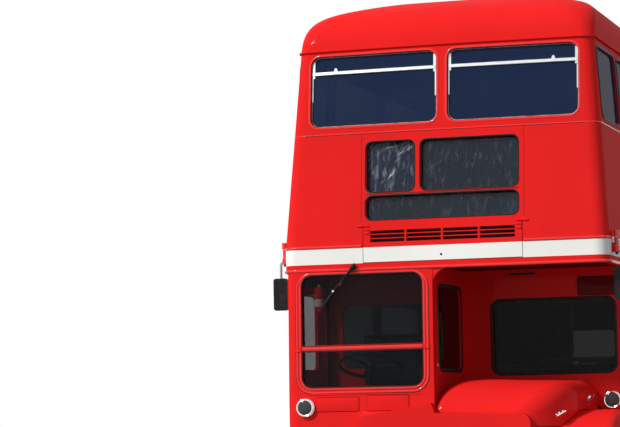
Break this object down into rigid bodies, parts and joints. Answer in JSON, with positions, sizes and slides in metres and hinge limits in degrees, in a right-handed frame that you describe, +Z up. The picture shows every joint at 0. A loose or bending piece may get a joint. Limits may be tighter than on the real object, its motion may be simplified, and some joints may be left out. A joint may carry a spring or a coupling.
{
  "type": "double-decker bus",
  "caption": "Front-engined double-decker bus with half cab, open rear platform, curved staircase, seats, sliding cab door, lifting bonnet and steered front wheels.",
  "frame": {"origin": "on the ground under the middle of the bus, at the bottom centre of its box", "axes": "+Z up, +Y towards the rear, +X towards the nearside"},
  "size_m": [2.68, 8.39, 4.3811],
  "materials": {
    "body_red": "gloss coach paint",
    "cream": "gloss coach paint",
    "lining": "satin paint",
    "chassis_black": "satin paint",
    "cast_engine": "painted cast iron",
    "grille_silver": "polished aluminium",
    "chrome": "bright chrome",
    "glass": "clear tinted glass",
    "blind": "glossy creased blind",
    "floor": "ribbed wooden slats",
    "stairs": "ribbed steel treads",
    "pole_white": "white coated tube",
    "seat_frame": "satin tube",
    "moquette": "woven wool moquette",
    "leathercloth": "black leathercloth",
    "black_plastic": "black rim",
    "lamp": "clear lens",
    "tail_red": "red lens",
    "rubber_black": "black rubber",
    "tyre": "black tyre",
    "rim_red": "painted steel wheel"
  },
  "bodies": {
    "bus": {"blind_boxes": "blind", "bonnet_fillet": "body_red", "cab_floor": "lining", "cab_inner_wall": "body_red", "cab_shell": "body_red", "canopy_panel": "body_red", "canopy_rail": "body_red", "chassis_frame": "chassis_black", "cream_band": "cream", "driver_seat": "leathercloth", "engine_block": "cast_engine", "front_axle": "chassis_black", "front_bulkhead": "body_red", "fuel_tank": "chassis_black", "glazing_lower": "glass", "glazing_upper": "glass", "glazing_front": "glass", "cab_side_glass": "glass", "handrails": "pole_white", "headlamps": "lamp", "lower_floor": "floor", "lower_rear": "body_red", "lower_side_near": "body_red", "lower_side_off": "body_red", "mirrors": "black_plastic", "radiator_cowl": "body_red", "radiator_grille": "grille_silver", "rear_axle": "chassis_black", "rear_platform": "floor", "roof": "body_red", "seat_cushions": "moquette", "seat_frames": "seat_frame", "side_lamps": "chrome", "staircase": "stairs", "steering_wheel": "black_plastic", "tail_lamps": "tail_red", "upper_floor": "floor", "upper_front": "body_red", "upper_rear": "body_red", "upper_side_near": "body_red", "upper_side_off": "body_red", "windscreen": "glass", "wing_near": "body_red", "wiper": "rubber_black"},
    "steer_near": {"knuckle_near": "chassis_black"},
    "steer_off": {"knuckle_off": "chassis_black"},
    "wheel_front_near": {"front_rim_near": "rim_red", "front_tyre_near": "tyre"},
    "wheel_front_off": {"front_rim_off": "rim_red", "front_tyre_off": "tyre"},
    "wheels_rear_near": {"rear_rims_near": "rim_red", "rear_tyres_near": "tyre"},
    "wheels_rear_off": {"rear_rims_off": "rim_red", "rear_tyres_off": "tyre"},
    "cab_door": {"cab_door": "body_red", "door_glass": "glass"},
    "bonnet": {"bonnet": "body_red"},
    "vent_flap": {"vent_flap": "body_red"},
    "rear_exit": {"rear_exit": "body_red", "exit_glass": "glass"}
  },
  "joints": [
    {"name": "steering", "type": "hinge", "parent": "bus", "child": "steer_near", "pos_m": [0.88, -3.405, 0.508], "axis": [0, 0, 1], "range_deg": [-35, 35]},
    {"name": "steering_off", "type": "hinge", "parent": "bus", "child": "steer_off", "pos_m": [-0.88, -3.405, 0.508], "axis": [0, 0, 1], "range_deg": [-35, 35]},
    {"name": "front_wheel_near_roll", "type": "hinge", "parent": "steer_near", "child": "wheel_front_near", "pos_m": [1.03, -3.405, 0.508], "axis": [1, 0, 0], "continuous": true},
    {"name": "front_wheel_off_roll", "type": "hinge", "parent": "steer_off", "child": "wheel_front_off", "pos_m": [-1.03, -3.405, 0.508], "axis": [1, 0, 0], "continuous": true},
    {"name": "rear_wheels_near_roll", "type": "hinge", "parent": "bus", "child": "wheels_rear_near", "pos_m": [0.91, 1.726, 0.508], "axis": [1, 0, 0], "continuous": true},
    {"name": "rear_wheels_off_roll", "type": "hinge", "parent": "bus", "child": "wheels_rear_off", "pos_m": [-0.91, 1.726, 0.508], "axis": [1, 0, 0], "continuous": true},
    {"name": "cab_door_slide", "type": "slide", "parent": "bus", "child": "cab_door", "axis": [0, 1, 0], "range_m": [0, 0.59]},
    {"name": "bonnet_lift", "type": "hinge", "parent": "bus", "child": "bonnet", "pos_m": [-0.007, -3.635, 1.417], "axis": [0, -1, 0], "range_deg": [0, 70]},
    {"name": "vent_flap_lift", "type": "hinge", "parent": "bus", "child": "vent_flap", "pos_m": [0, -4.09015, 2.5897], "axis": [-1, 0, 0], "range_deg": [0, 80]},
    {"name": "rear_exit_lift", "type": "hinge", "parent": "bus", "child": "rear_exit", "pos_m": [0, 4.10647, 3.8947], "axis": [1, 0, 0], "range_deg": [0, 75]}
  ],
  "couplings": [
    {"joint": "steering_off", "follows": "steering", "ratio": 1}
  ]
}
